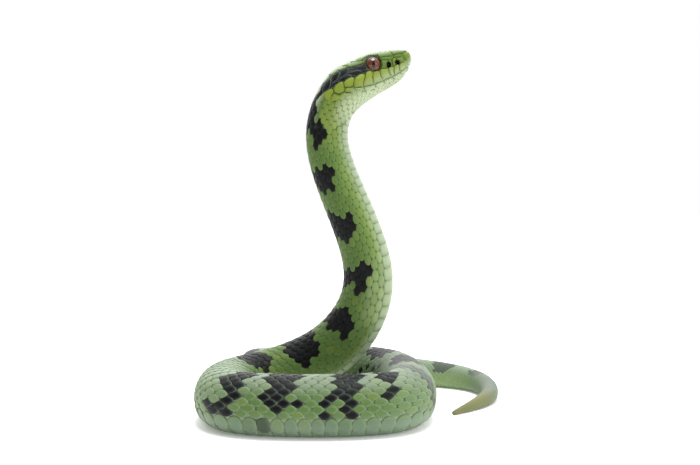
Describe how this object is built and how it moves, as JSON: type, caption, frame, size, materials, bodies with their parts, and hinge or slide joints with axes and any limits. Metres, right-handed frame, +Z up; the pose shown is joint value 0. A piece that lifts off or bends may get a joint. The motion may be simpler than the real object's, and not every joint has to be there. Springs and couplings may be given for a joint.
{
  "type": "green pit viper",
  "caption": "Life-size still model of a green pit viper, coiled on the ground with its head raised in an S-curve.",
  "frame": {"origin": "on the ground under the middle of the animal's bounding box", "axes": "+Z up, +X the way the snout points, -Y the side that the raised neck shows to a viewer"},
  "size_m": [0.1256, 0.1374, 0.147],
  "materials": {
    "skin": "satin scaled skin, green with ragged black crossbands and a pale green belly",
    "tail_tip": "satin fine-scaled skin, olive brown",
    "eye": "wet gloss, amber brown iris with a black upright slit pupil"
  },
  "bodies": {
    "root": {"head": "skin", "lower_jaw": "skin", "eye_left": "eye", "eye_right": "eye", "neck_1": "skin", "neck_2": "skin", "neck_3": "skin", "torso_1": "skin", "torso_2": "skin", "torso_3": "skin", "torso_4": "skin", "torso_5": "skin", "torso_6": "skin", "torso_7": "skin", "torso_8": "skin", "torso_9": "skin", "tail_1": "skin", "tail_2": "skin", "tail_3": "tail_tip"}
  },
  "joints": []
}
